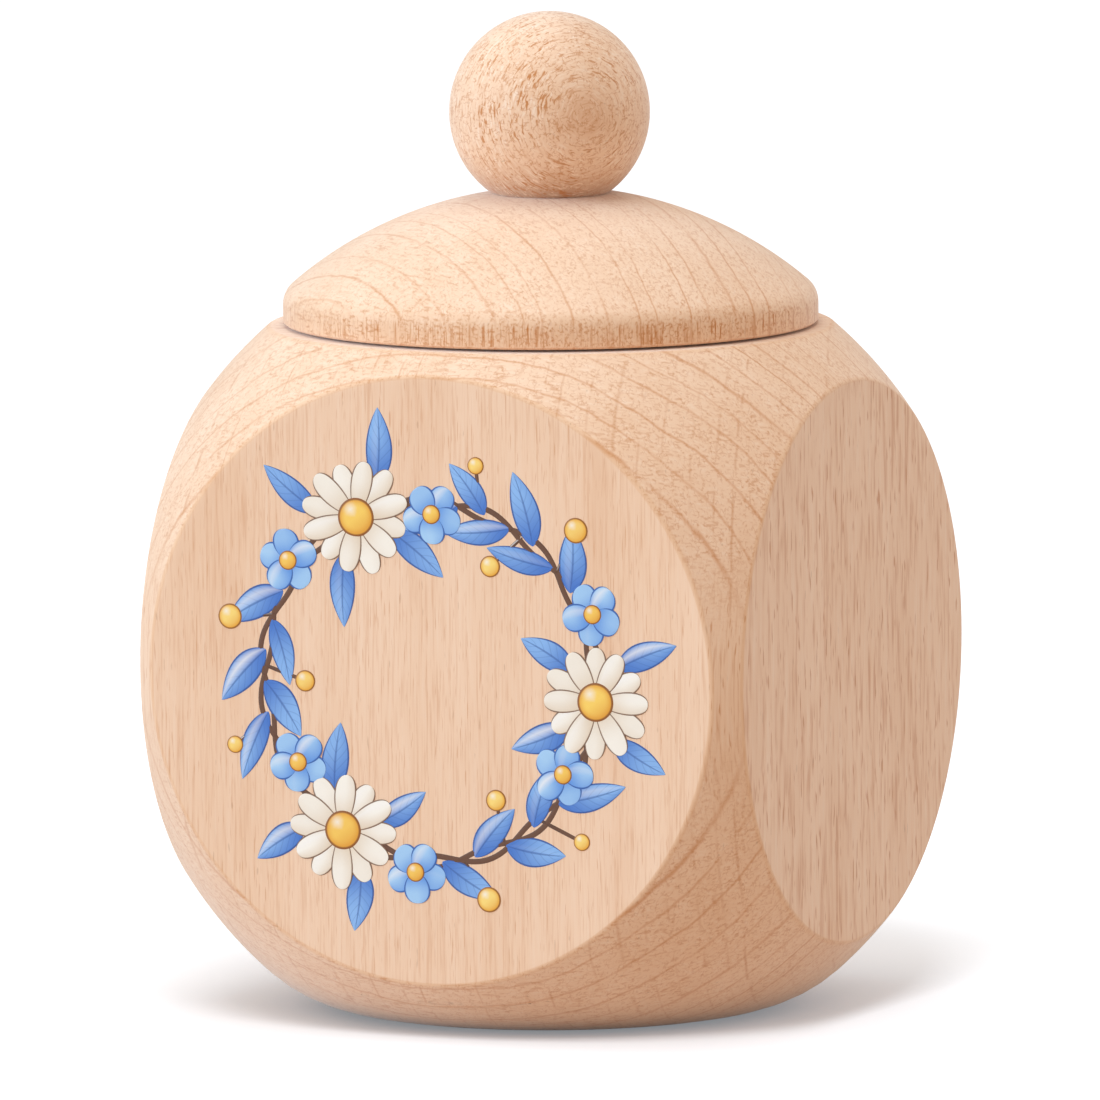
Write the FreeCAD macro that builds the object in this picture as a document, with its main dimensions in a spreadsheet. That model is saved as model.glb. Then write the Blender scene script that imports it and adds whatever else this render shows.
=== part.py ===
import FreeCAD, Part

import os
import Sketcher
from FreeCAD import Placement, Rotation, Vector

# Baby tooth box in beech: a turned ball with six flats and a drilled hollow, closed by a domed lid
# whose plug drops into the hollow. A ball knob is glued to the lid on a fluted dowel.
# Millimetres, +Z up. The origin is the centre of the base, and the front face looks along -Y.
# Each piece is drawn in a frame of its own, standing on Z = 0, and its Placement lifts it to its seat.

SIZES = [
    # the box body
    ("ball_radius", 32.2, "radius of the turned ball that the body is cut from"),
    ("front_flat", 22.85, "axis to the front and back faces"),
    ("side_flat", 24.4, "axis to the left and right faces"),
    ("base_flat", 26.95, "centre of the ball to the base"),
    ("top_flat", 24.35, "centre of the ball to the top face"),
    ("edge_round", 0.5, "sanded edge round the top and the four side flats"),
    ("base_round", 11.5, "wide rounding between the ball and the base"),
    ("hollow_radius", 15.0, "drilled hollow for the teeth"),
    ("hollow_depth", 38.0, "top face down to the floor of the hollow"),
    ("mouth_chamfer", 0.6, "broken edge at the mouth of the hollow"),
    ("bit_point_radius", 1.6, "dimple that the drill's centre point leaves in the floor"),
    ("bit_point_depth", 1.2, "depth of that dimple"),
    # the lid
    ("lid_radius", 20.0, "rim of the lid"),
    ("rim_height", 2.45, "shoulder up to the top of the rim"),
    ("dome_rise", 7.4, "top of the rim up to the seat of the knob"),
    ("rim_round", 1.9, "rounding between rim and dome"),
    ("rim_chamfer", 0.15, "broken lower edge of the rim"),
    ("shoulder_radius", 18.0, "shoulder that rests on the top face of the box"),
    ("shadow_gap", 0.2, "gap under the rim, outside the shoulder, which shows as a dark line"),
    ("plug_length", 7.0, "plug under the lid"),
    ("plug_clearance", 0.2, "gap between plug and hollow, all round"),
    ("plug_chamfer", 0.8, "lead-in at the foot of the plug"),
    # the knob
    ("knob_radius", 7.5, "ball knob"),
    ("knob_seat_radius", 4.4, "flat that the knob stands on, on knob and lid alike"),
    ("knob_edge_round", 0.25, "sanded edge round that flat"),
    # the dowel that holds the knob, and the holes that it is glued into
    ("dowel_radius", 3.0, "dowel pin"),
    ("dowel_length", 16.0, "dowel pin, end to end"),
    ("dowel_in_knob", 7.0, "length of the dowel inside the knob"),
    ("dowel_chamfer", 0.7, "tapered ends of the dowel"),
    ("flute_radius", 0.5, "groove along the dowel that lets glue and air out"),
    ("flute_depth", 0.25, "depth of that groove"),
    ("flute_count", 12, "grooves round the dowel"),
    ("glue_gap", 0.05, "glue line between dowel and hole, all round"),
    ("hole_spare", 0.6, "room for glue past each end of the dowel"),
    # every cutting tool runs this far past what it cuts
    ("overrun", 1.0, "overrun of every cut"),
]

# Radii and heights that follow from those sizes, each in its own piece's frame.
BASE_RADIUS = "sqrt(Sizes.ball_radius^2 - Sizes.base_flat^2)"
TOP_RADIUS = "sqrt(Sizes.ball_radius^2 - Sizes.top_flat^2)"
TOP_HEIGHT = "(Sizes.base_flat + Sizes.top_flat)"
FLOOR_HEIGHT = f"({TOP_HEIGHT} - Sizes.hollow_depth)"
PLUG_RADIUS = "(Sizes.hollow_radius - Sizes.plug_clearance)"
RIM_FOOT = "(Sizes.plug_length + Sizes.shadow_gap)"
RIM_TOP = "(Sizes.plug_length + Sizes.rim_height)"
LID_HEIGHT = f"({RIM_TOP} + Sizes.dome_rise)"
KNOB_HEIGHT = "(sqrt(Sizes.knob_radius^2 - Sizes.knob_seat_radius^2) + Sizes.knob_radius)"
DOWEL_IN_LID = "(Sizes.dowel_length - Sizes.dowel_in_knob)"
HOLE_RADIUS = "(Sizes.dowel_radius + Sizes.glue_gap)"

# Where the lid and the knob stand in the box's frame.
LID_FOOT = f"({TOP_HEIGHT} - Sizes.plug_length)"
KNOB_FOOT = f"({LID_FOOT} + {LID_HEIGHT})"
DOWEL_FOOT = f"({KNOB_FOOT} - {DOWEL_IN_LID})"

FULL_TURN = 360.0
SEAM_TURN = 45.0  # the seam of the turned ball lies in a corner, between two flats
DRILL_POINT_ANGLE = 118.0
TOLERANCE = 1e-4  # two heights nearer than this are the same

# A sketch's own origin point and axes, and the points of a curve in it.
ORIGIN = (-1, 1)
H_AXIS = -1
V_AXIS = -2
START, END, CENTRE = 1, 2, 3

doc = FreeCAD.newDocument("tooth_box")
sheet = doc.addObject("Spreadsheet::Sheet", "Sizes")
for row, (alias, size, meaning) in enumerate(SIZES, start=1):
    sheet.set(f"A{row}", meaning)
    sheet.set(f"B{row}", str(size))
    sheet.setAlias(f"B{row}", alias)
doc.recompute()


def size_of(expression):
    """The present value of an expression in the sheet's sizes."""
    return float(sheet.evalExpression(expression))


def new_piece(label, foot="0"):
    """An empty body with its own name, whose frame is lifted by the expression foot."""
    body = doc.addObject("PartDesign::Body", label)
    body.Label = label
    body.setExpression(".Placement.Base.z", foot)
    return body


def new_sketch(body, name, role, lift="0", turn=0.0):
    """A sketch on an origin plane of the body, lifted off it by an expression, turned about its upright."""
    sketch = body.newObject("Sketcher::SketchObject", name)
    plane = next(feature for feature in body.Origin.OriginFeatures if feature.Role == role)
    sketch.AttachmentSupport = [(plane, "")]
    sketch.MapMode = "FlatFace"
    sketch.AttachmentOffset = Placement(Vector(), Rotation(Vector(0, 1, 0), turn))
    sketch.setExpression(".AttachmentOffset.Base.z", lift)
    return sketch


def tie(sketch, kind, *where, to):
    """A dimension of the sketch, bound to an expression."""
    index = sketch.addConstraint(Sketcher.Constraint(kind, *where, size_of(to)))
    sketch.setExpression(f"Constraints[{index}]", to)


def place(sketch, curve, point, x, y):
    """Binds a point of a curve to the expressions of its two coordinates."""
    for kind, along, axis in (("DistanceX", x, V_AXIS), ("DistanceY", y, H_AXIS)):
        if along == "0":
            sketch.addConstraint(Sketcher.Constraint("PointOnObject", curve, point, axis))
        else:
            tie(sketch, kind, *ORIGIN, curve, point, to=along)


def join(sketch, curve, follower):
    """The end of one curve meets the start of the next."""
    sketch.addConstraint(Sketcher.Constraint("Coincident", curve, END, follower, START))


def round_edge(start, end):
    """The arc from start to end, counterclockwise, whose centre is on the upright axis."""
    height = (end.dot(end) - start.dot(start)) / (2 * (end.y - start.y))
    centre = Vector(0, height, 0)
    circle = Part.Circle(centre, Vector(0, 0, 1), start.distanceToPoint(centre))
    return Part.ArcOfCircle(circle, circle.parameter(start), circle.parameter(end))


def turned_section(body, name, corners, arcs=(), turn=0.0):
    """Half the section of a turning, counterclockwise, with each corner as expressions of (radius, height).

    Edge i runs from corner i to the next. Edges listed in arcs are round, with their centre on the axis.
    """
    sketch = new_sketch(body, name, "XZ_Plane", turn=turn)
    points = [Vector(size_of(radius), size_of(height), 0) for radius, height in corners]
    for i, start in enumerate(points):
        end = points[(i + 1) % len(points)]
        sketch.addGeometry(round_edge(start, end) if i in arcs else Part.LineSegment(start, end))
    for i, corner in enumerate(corners):
        join(sketch, i, (i + 1) % len(corners))
        place(sketch, i, START, *corner)
    for i in arcs:
        sketch.addConstraint(Sketcher.Constraint("PointOnObject", i, CENTRE, V_AXIS))
    return sketch


def add_rectangle(sketch, width, depth):
    """A rectangle about the sketch's origin, from the expressions of its two sizes."""
    x, y = size_of(width) / 2, size_of(depth) / 2
    corners = [Vector(-x, -y, 0), Vector(x, -y, 0), Vector(x, y, 0), Vector(-x, y, 0)]
    sides = [sketch.addGeometry(Part.LineSegment(a, b)) for a, b in zip(corners, corners[1:] + corners[:1])]
    for i, side in enumerate(sides):
        join(sketch, side, sides[(i + 1) % len(sides)])
        sketch.addConstraint(Sketcher.Constraint("Vertical" if i % 2 else "Horizontal", side))
    front, right, back, left = sides
    sketch.addConstraint(Sketcher.Constraint("Symmetric", front, START, back, START, *ORIGIN))
    tie(sketch, "DistanceX", front, START, front, END, to=width)
    tie(sketch, "DistanceY", right, START, right, END, to=depth)


def add_circle(sketch, radius, x="0"):
    """A circle with its centre on the sketch's level axis, from expressions."""
    index = sketch.addGeometry(Part.Circle(Vector(size_of(x), 0, 0), Vector(0, 0, 1), size_of(radius)))
    place(sketch, index, CENTRE, x, "0")
    tie(sketch, "Radius", index, to=radius)


def built(body, feature, cuts=False):
    """Builds the feature, and stops if one that cuts took no wood away."""
    before = body.Shape.Volume if cuts else 0.0
    doc.recompute()
    if cuts and feature.Shape.Volume >= before:
        raise RuntimeError(f"{feature.Label} cuts nothing")
    return feature


def turn_on_lathe(body, name, section, cuts=False):
    """Turns a section about its upright axis, as wood or as a cut in it."""
    feature = body.newObject("PartDesign::Groove" if cuts else "PartDesign::Revolution", name)
    feature.Profile = section
    feature.ReferenceAxis = (section, ["V_Axis"])
    feature.Angle = FULL_TURN
    return built(body, feature, cuts)


def cut_upwards(body, name, sketch, length):
    """Cuts the sketch's outline out of the body, from the sketch up, over the expression length."""
    feature = body.newObject("PartDesign::Pocket", name)
    feature.Profile = sketch
    feature.Type = "Length"
    feature.setExpression("Length", length)
    feature.Reversed = True
    return built(body, feature, cuts=True)


def drill_for_dowel(body, name, lift, depth, upwards):
    """The dowel's hole, with the drill's pointed end, from the height lift. Both are expressions."""
    mark = new_sketch(body, f"{name}_mark", "XY_Plane", lift=lift)
    add_circle(mark, HOLE_RADIUS)
    doc.recompute()
    feature = body.newObject("PartDesign::Hole", name)
    feature.Profile = mark
    feature.DepthType = "Dimension"
    feature.DrillPoint = "Angled"
    feature.DrillPointAngle = DRILL_POINT_ANGLE
    feature.Reversed = upwards
    feature.setExpression("Diameter", f"2 * {HOLE_RADIUS}")
    feature.setExpression("Depth", f"{depth} + Sizes.hole_spare")
    return built(body, feature, cuts=True)


def sand_edges(body, name, radius, chosen):
    """Rounds the edges that chosen(edge) picks on the body as it is, by the expression radius."""
    base = body.Tip
    edges = [f"Edge{i}" for i, edge in enumerate(base.Shape.Edges, start=1) if chosen(edge)]
    feature = body.newObject("PartDesign::Fillet", name)
    feature.Base = (base, edges)
    feature.setExpression("Radius", radius)
    return built(body, feature)


def on_a_flat(shape):
    """Picks the edges that bound a flat face of the shape."""
    flats = [face for face in shape.Faces if isinstance(face.Surface, Part.Plane)]
    return lambda edge: any(edge.isSame(rim) for face in flats for rim in face.Edges)


def at_height(height):
    """Picks the edges that lie level at a height, given as an expression."""
    level = size_of(height)
    return lambda edge: max(abs(edge.BoundBox.ZMin - level), abs(edge.BoundBox.ZMax - level)) < TOLERANCE


def make_box_body():
    """The turned ball with base and top, its four milled flats with sanded edges, and the drilled hollow."""
    body = new_piece("box_body")
    ball = [("0", "0"), (BASE_RADIUS, "0"), (TOP_RADIUS, TOP_HEIGHT), ("0", TOP_HEIGHT)]
    turn_on_lathe(body, "ball", turned_section(body, "ball_section", ball, arcs=[1], turn=SEAM_TURN))

    waste = new_sketch(body, "waste_outside_the_flats", "XY_Plane")
    blank_width = "2 * (Sizes.ball_radius + Sizes.overrun)"
    add_rectangle(waste, blank_width, blank_width)
    add_rectangle(waste, "2 * Sizes.side_flat", "2 * Sizes.front_flat")
    cut_upwards(body, "flats", waste, f"{TOP_HEIGHT} + Sizes.overrun")
    bounds_a_flat, bounds_the_base = on_a_flat(body.Tip.Shape), at_height("0")
    sand_edges(body, "sanded_edges", "Sizes.edge_round",
               lambda edge: bounds_a_flat(edge) and not bounds_the_base(edge))
    sand_edges(body, "base_rounding", "Sizes.base_round", bounds_the_base)

    # The mouth's chamfer runs on past the top face, at its own slope.
    hollow = [
        ("0", f"{FLOOR_HEIGHT} - Sizes.bit_point_depth"),
        ("Sizes.bit_point_radius", FLOOR_HEIGHT),
        ("Sizes.hollow_radius", FLOOR_HEIGHT),
        ("Sizes.hollow_radius", f"{TOP_HEIGHT} - Sizes.mouth_chamfer"),
        ("Sizes.hollow_radius + Sizes.mouth_chamfer + Sizes.overrun", f"{TOP_HEIGHT} + Sizes.overrun"),
        ("0", f"{TOP_HEIGHT} + Sizes.overrun"),
    ]
    turn_on_lathe(body, "hollow", turned_section(body, "hollow_section", hollow), cuts=True)
    return body


def make_lid():
    """One turning: a plug, a shoulder, a rim clear of the box, and a dome with a flat for the knob."""
    body = new_piece("lid", LID_FOOT)
    section = [
        ("0", "0"),
        (f"{PLUG_RADIUS} - Sizes.plug_chamfer", "0"),
        (PLUG_RADIUS, "Sizes.plug_chamfer"),
        (PLUG_RADIUS, "Sizes.plug_length"),
        ("Sizes.shoulder_radius", "Sizes.plug_length"),
        ("Sizes.shoulder_radius", RIM_FOOT),
        ("Sizes.lid_radius - Sizes.rim_chamfer", RIM_FOOT),
        ("Sizes.lid_radius", f"{RIM_FOOT} + Sizes.rim_chamfer"),
        ("Sizes.lid_radius", RIM_TOP),
        ("Sizes.knob_seat_radius", LID_HEIGHT),
        ("0", LID_HEIGHT),
    ]
    dome = 8
    turn_on_lathe(body, "lid_turning", turned_section(body, "lid_section", section, arcs=[dome]))
    sand_edges(body, "rim_rounding", "Sizes.rim_round", at_height(RIM_TOP))
    drill_for_dowel(body, "knob_hole", LID_HEIGHT, DOWEL_IN_LID, upwards=False)
    return body


def make_knob_ball():
    """The ball knob, cut flat where it stands on the lid."""
    body = new_piece("knob_ball", KNOB_FOOT)
    section = [("0", "0"), ("Sizes.knob_seat_radius", "0"), ("0", KNOB_HEIGHT)]
    turn_on_lathe(body, "knob_turning", turned_section(body, "knob_section", section, arcs=[1]))
    sand_edges(body, "knob_sanding", "Sizes.knob_edge_round", on_a_flat(body.Tip.Shape))
    drill_for_dowel(body, "dowel_hole", "0", "Sizes.dowel_in_knob", upwards=True)
    return body


def make_knob_dowel():
    """The fluted pin between lid and knob, tapered at both ends."""
    body = new_piece("knob_dowel", DOWEL_FOOT)
    section = [
        ("0", "0"),
        ("Sizes.dowel_radius - Sizes.dowel_chamfer", "0"),
        ("Sizes.dowel_radius", "Sizes.dowel_chamfer"),
        ("Sizes.dowel_radius", "Sizes.dowel_length - Sizes.dowel_chamfer"),
        ("Sizes.dowel_radius - Sizes.dowel_chamfer", "Sizes.dowel_length"),
        ("0", "Sizes.dowel_length"),
    ]
    turn_on_lathe(body, "pin", turned_section(body, "pin_section", section))
    groove = new_sketch(body, "flute_outline", "XY_Plane")
    add_circle(groove, "Sizes.flute_radius", x="Sizes.dowel_radius + Sizes.flute_radius - Sizes.flute_depth")
    flute = cut_upwards(body, "flute", groove, "Sizes.dowel_length + Sizes.overrun")
    flutes = body.newObject("PartDesign::PolarPattern", "flutes")
    flutes.Originals = [flute]
    flutes.Axis = (groove, ["N_Axis"])
    flutes.Angle = FULL_TURN
    flutes.setExpression("Occurrences", "Sizes.flute_count")
    body.Tip = flutes
    built(body, flutes, cuts=True)
    return body


pieces = [make_box_body(), make_lid(), make_knob_ball(), make_knob_dowel()]
doc.recompute()
for part in doc.Objects:
    if {"Invalid", "Error"} & set(part.State):
        raise RuntimeError(f"{part.Label} did not build: {part.State}")
for piece in pieces:
    if piece.Shape.isNull() or not piece.Shape.isValid():
        raise RuntimeError(f"{piece.Label} has no sound shape")

os.makedirs("parts", exist_ok=True)
for piece in pieces:
    piece.Shape.exportStep(f"parts/{piece.Label}.step")
    box = piece.Shape.optimalBoundingBox()
    lengths = " x ".join(f"{length:.2f}" for length in (box.XLength, box.YLength, box.ZLength))
    print(f"{piece.Label}: {lengths} mm, {piece.Shape.Volume:.0f} mm3")
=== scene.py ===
# %% [markdown]
# # A tooth box in turned beech
#
# The real box is four pieces of beech. A turned ball is cut by six flats and drilled out from the top. A
# domed lid drops into the hollow on a plug, and a small ball is its knob, held by a dowel that nobody sees.
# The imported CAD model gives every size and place. This script gives the four pieces smooth surfaces, wood
# that runs through them as it does through a log, and a printed wreath on the front face.

# %% Load the frame
from math import radians

import bmesh
import bpy
import numpy as np
from mathutils import Matrix, Vector


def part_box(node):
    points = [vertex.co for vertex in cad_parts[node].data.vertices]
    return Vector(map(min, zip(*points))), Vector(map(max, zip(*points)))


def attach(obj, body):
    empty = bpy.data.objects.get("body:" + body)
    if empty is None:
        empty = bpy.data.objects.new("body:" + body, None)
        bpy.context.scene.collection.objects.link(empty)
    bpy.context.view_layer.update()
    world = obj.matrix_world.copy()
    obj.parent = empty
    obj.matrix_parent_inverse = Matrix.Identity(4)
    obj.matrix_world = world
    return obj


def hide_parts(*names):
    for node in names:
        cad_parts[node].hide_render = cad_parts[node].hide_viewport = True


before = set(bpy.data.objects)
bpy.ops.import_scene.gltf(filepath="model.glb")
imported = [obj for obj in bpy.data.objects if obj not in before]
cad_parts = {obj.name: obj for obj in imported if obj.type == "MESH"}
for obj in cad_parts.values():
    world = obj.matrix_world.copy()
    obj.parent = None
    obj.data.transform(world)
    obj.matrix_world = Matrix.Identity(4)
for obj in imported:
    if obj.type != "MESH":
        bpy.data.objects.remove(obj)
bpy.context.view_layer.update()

MM = 0.001  # one millimetre in Blender's metres; every size below is in millimetres

# %% [markdown]
# ## The camera
#
# The photograph was taken with a long lens, a little above the box and to its right. Azimuth, elevation,
# roll and focal length were fitted to the outlines of the flats, the lid and the knob. The camera comes
# first, because every later comparison with the photograph depends on it.

# %% Camera
PHOTO_WIDTH_PX = 1100
FOCAL_LENGTH_PX = 26750
CAMERA_AZIMUTH = radians(23.55)
CAMERA_ELEVATION = radians(6.75)
CAMERA_ROLL = radians(-0.36)
CAMERA_DISTANCE = 2000
AIM_HEIGHT = 34.25
AIM_ASIDE = 0.17  # the box stands this far right of the middle of the picture
SENSOR_WIDTH = 36


def camera_axes(azimuth, elevation, roll):
    """Right, up and back of a camera that looks at the Z axis, as unit vectors.

    Azimuth 0 looks from the front and goes to the right. Back leans up by the elevation, right stays level
    but for the roll, and up is square to both.
    """
    level = np.cos(elevation)
    back = Vector((np.sin(azimuth) * level, -np.cos(azimuth) * level, np.sin(elevation)))
    right = Vector((np.cos(azimuth), np.sin(azimuth), 0))
    right.rotate(Matrix.Rotation(roll, 3, back))
    return right, back.cross(right), back


right, up, back = camera_axes(CAMERA_AZIMUTH, CAMERA_ELEVATION, CAMERA_ROLL)
aim = Vector((0, 0, AIM_HEIGHT)) - right * AIM_ASIDE
camera = bpy.data.objects.new("camera", bpy.data.cameras.new("camera"))
camera.data.sensor_width = SENSOR_WIDTH
camera.data.lens = SENSOR_WIDTH * FOCAL_LENGTH_PX / PHOTO_WIDTH_PX
camera_turn = Matrix((right, up, back)).transposed().to_4x4()
camera.matrix_world = Matrix.Translation((aim + back * CAMERA_DISTANCE) * MM) @ camera_turn
bpy.context.scene.collection.objects.link(camera)
bpy.context.scene.camera = camera
print("lens:", round(camera.data.lens, 1), "mm")

# %% [markdown]
# ## From arrays to meshes
#
# Each surface here is a grid: rings of points, as many points in every ring. Numpy works out a whole grid
# at once. Two helpers turn grids into a mesh. The first joins ring to ring with quads. The second collects
# the grids of one piece, merges the points that meet at poles and seams, and turns all faces outwards.

# %% Helpers for grids
SAME_POINT = 1e-4  # points nearer than this are one
CREASE_ANGLE = radians(32)  # sharper edges stay crisp


def quads_between(rings):
    """Quads between each ring and the next, for an array of (rings, points round, 3) whose rings close."""
    index = np.arange(rings.shape[0] * rings.shape[1]).reshape(rings.shape[:2])
    onward = np.roll(index, -1, axis=1)
    return np.stack([index[:-1], onward[:-1], onward[1:], index[1:]], axis=-1).reshape(-1, 4)


def make_piece(name, grids, material, attributes=None):
    """One closed object from several ring grids in millimetres. attributes holds numbers for each point."""
    starts = np.cumsum([0] + [grid.shape[0] * grid.shape[1] for grid in grids[:-1]])
    points = np.concatenate([grid.reshape(-1, 3) for grid in grids])
    quads = np.concatenate([quads_between(grid) + start for grid, start in zip(grids, starts)])
    mesh = bpy.data.meshes.new(name)
    mesh.from_pydata(points * MM, [], quads)
    for key, values in (attributes or {}).items():
        mesh.attributes.new(key, "FLOAT", "POINT").data.foreach_set("value", values.ravel())
    work = bmesh.new()
    work.from_mesh(mesh)
    bmesh.ops.remove_doubles(work, verts=work.verts, dist=SAME_POINT * MM)
    bmesh.ops.recalc_face_normals(work, faces=work.faces)
    work.to_mesh(mesh)
    work.free()
    mesh.polygons.foreach_set("use_smooth", np.ones(len(mesh.polygons), bool))
    mesh.set_sharp_from_angle(angle=CREASE_ANGLE)
    mesh.materials.append(material)
    piece = bpy.data.objects.new(name, mesh)
    bpy.context.scene.collection.objects.link(piece)
    print(name, len(mesh.vertices), "points,", len(mesh.polygons), "faces")
    return piece


def arc(centre, radius, start, end, steps):
    """Points on an arc of a section, as (radius, height), with angles in radians up from the level."""
    angle = np.linspace(start, end, steps)
    return np.column_stack([centre[0] + radius * np.cos(angle), centre[1] + radius * np.sin(angle)])


def turned(section, around):
    """Rings of a turning about the Z axis: each (radius, height) of the section becomes one ring."""
    angle = np.linspace(0, 2 * np.pi, around, endpoint=False)
    radius, height = np.asarray(section, float).T
    circle = np.stack([np.cos(angle), np.sin(angle), np.zeros(around)], axis=-1)
    return radius[:, None, None] * circle + height[:, None, None] * np.array([0, 0, 1.0])


# %% [markdown]
# ## Beech, all the way through
#
# A flat picture of wood wrapped round a ball gives itself away at once. So the wood is a solid: a log with
# a pith, growth rings round it, and rays that run out from it like the spokes of a wheel. Each piece is a
# cut out of such a log, and a Mapping node says how: it turns the grain upright and puts the pith at the
# origin, in millimetres.
#
# How a surface cuts the log decides what shows. That is the same all over a flat, and changes over a ball,
# so the box and the lid keep two numbers on their points: long_grain, for how nearly the surface runs along
# the grain, and quarter, for how nearly it runs along the rays. Knob and dowel have neither, and count as
# cut across the grain all over.
#
# Sockets go by name, or by number where names repeat. A Map Range takes its value as 0, the range that it
# comes from as 1 and 2, and the range that it goes to as 3 and 4. A Mix takes its share as 0, and two
# numbers as 2 and 3 or two colours as 6 and 7.

# %% Nodes and colours
def node(tree, kind, inputs=None, **settings):
    """Adds a node with its settings, links or sets its inputs by name or number, and returns its outputs."""
    made = tree.nodes.new("ShaderNode" + kind)
    for key, value in settings.items():
        setattr(made, key, value)
    for key, value in (inputs or {}).items():
        if isinstance(value, bpy.types.NodeSocket):
            tree.links.new(value, made.inputs[key])
        else:
            made.inputs[key].default_value = value
    return made.outputs


def linear(hex_colour):
    """An sRGB hex colour such as #EBC9AE as linear red, green, blue and alpha, by the sRGB standard."""
    srgb = np.array([int(hex_colour[i:i + 2], 16) for i in (1, 3, 5)]) / 255
    low, high = srgb / 12.92, ((srgb + 0.055) / 1.055) ** 2.4
    return (*np.where(srgb <= 0.04045, low, high), 1.0)


# %% Places in the log
def log_place(tree, grain, pith):
    """Places in the log, in millimetres: the grain is turned upright and the pith goes to the origin."""
    upright = Vector(grain).normalized().rotation_difference(Vector((0, 0, 1)))
    turn = {
        "Vector": node(tree, "TexCoord")["Object"],
        "Rotation": upright.to_euler(),
        "Location": -(upright @ Vector(pith)),
        "Scale": (1 / MM, 1 / MM, 1 / MM),
    }
    return node(tree, "Mapping", turn)[0]


def mark_cut(piece, pith):
    """Keeps on each point how the surface cuts an upright log.

    long_grain is one less the upright part of the normal: 1 along the grain, 0 square across it. quarter is
    the part of the normal that is square to the grain and to the way to the pith: 1 along the rays, 0 along
    the rings.
    """
    mesh = piece.data
    normals = np.empty(3 * len(mesh.vertices), np.float32)
    mesh.vertex_normals.foreach_get("vector", normals)
    normals = normals.reshape(-1, 3)
    aside = np.array(Vector((pith[1], -pith[0], 0)).normalized())
    mesh.attributes.new("long_grain", "FLOAT", "POINT").data.foreach_set("value", 1 - np.abs(normals[:, 2]))
    mesh.attributes.new("quarter", "FLOAT", "POINT").data.foreach_set("value", np.abs(normals @ aside))


# %% Noise in millimetres
NOISE_MIDDLE = 0.5  # noise varies about this level
NOISE_DETAIL = 1.0


def noise_of(tree, place, sizes, detail=NOISE_DETAIL):
    """Smooth noise whose features have the given sizes in millimetres: a grey output and a colour output."""
    scaled = node(tree, "VectorMath", {0: place, 1: [1 / size for size in sizes]}, operation="MULTIPLY")[0]
    return node(tree, "TexNoise", {"Vector": scaled, "Scale": 1.0, "Detail": detail})


def strokes(tree, place, sizes, levels):
    """Marks of the given sizes: noise that counts as 0 at the first level and as 1 at the second."""
    grey = noise_of(tree, place, sizes)[0]
    return node(tree, "MapRange", {0: grey, 1: levels[0], 2: levels[1]}, interpolation_type="SMOOTHSTEP")[0]


def moved(tree, place, sizes, reach):
    """A place moved across the grain, by twice reach times the way of a noise from its middle."""
    push = {0: noise_of(tree, place, sizes)["Color"], 1: (NOISE_MIDDLE, NOISE_MIDDLE, NOISE_MIDDLE)}
    push = node(tree, "VectorMath", push, operation="SUBTRACT")[0]
    across = {0: push, 1: (2 * reach, 2 * reach, 0), 2: place}
    return node(tree, "VectorMath", across, operation="MULTIPLY_ADD")[0]


# %% [markdown]
# ### Rings, rays and fibres
#
# Growth rings are thin lines at whole numbers of years, counted outwards from the pith. Rays are thin lines
# at whole numbers of spokes, counted round it. Both wander a little, and fade or break in places, as they
# do in wood.
#
# Along the grain, fibres show as fine streaks, dark and pale, and as short dark dashes. Across the grain
# their cut ends look like felt: short strokes that follow the rings, and curled hairs between them. Real
# fibres and vessels are 0.02 to 0.08 mm wide, which is about a pixel or less, so all of them are drawn
# coarser here, to show.

# %% Growth rings and rays
RING_HALF_WIDTH = 0.16
RAY_HALF_WIDTH = 0.14
RING_WEAKEST = 0.45  # each line has a strength of its own, from this to 1
RAY_WEAKEST = 0.3
LINE_UNEVENNESS = 1.0  # lines stand up to this many gaps out of step
SWAY_SCALE = 0.5  # and go out of step and back over about two gaps
NEAR_PITH_GAPS = 10  # a piece that holds its own pith has the rays of a circle this many gaps out
PATCH_SIZES = (5.0, 5.0, 8.0)  # rings fade and come back over patches of this size
PATCH_LEVELS = (0.15, 0.55)
BREAK_SIZES = (1.3, 1.3, 4.0)  # rays are broken into lengths of this size
BREAK_LEVELS = (0.41, 0.57)


def thin_lines(tree, count, half_width, weakest):
    """Lines where a count is whole, half_width of a gap to each side, each with a strength of its own.

    A ping-pong of a half gives the way to the nearest whole number.
    """
    sway = {"W": count, "Scale": SWAY_SCALE, "Detail": NOISE_DETAIL}
    sway = node(tree, "TexNoise", sway, noise_dimensions="1D")[0]
    count = node(tree, "Math", {0: sway, 1: LINE_UNEVENNESS, 2: count}, operation="MULTIPLY_ADD")[0]
    away = node(tree, "Math", {0: count, 1: 0.5}, operation="PINGPONG")[0]
    near = {0: away, 2: half_width, 3: 1.0, 4: 0.0}
    line = node(tree, "MapRange", near, interpolation_type="SMOOTHSTEP")[0]
    which = node(tree, "Math", {0: count}, operation="ROUND")[0]
    strength = node(tree, "TexWhiteNoise", {"W": which}, noise_dimensions="1D")["Value"]
    strength = node(tree, "MapRange", {0: strength, 3: weakest, 4: 1.0})[0]
    return node(tree, "Math", {0: line, 1: strength}, operation="MULTIPLY")[0]


def way_out(tree, x, y):
    """The distance from the pith: the length of a place whose height is left out."""
    level = node(tree, "CombineXYZ", {0: x, 1: y})[0]
    return node(tree, "VectorMath", {0: level}, operation="LENGTH")["Value"]


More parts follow.
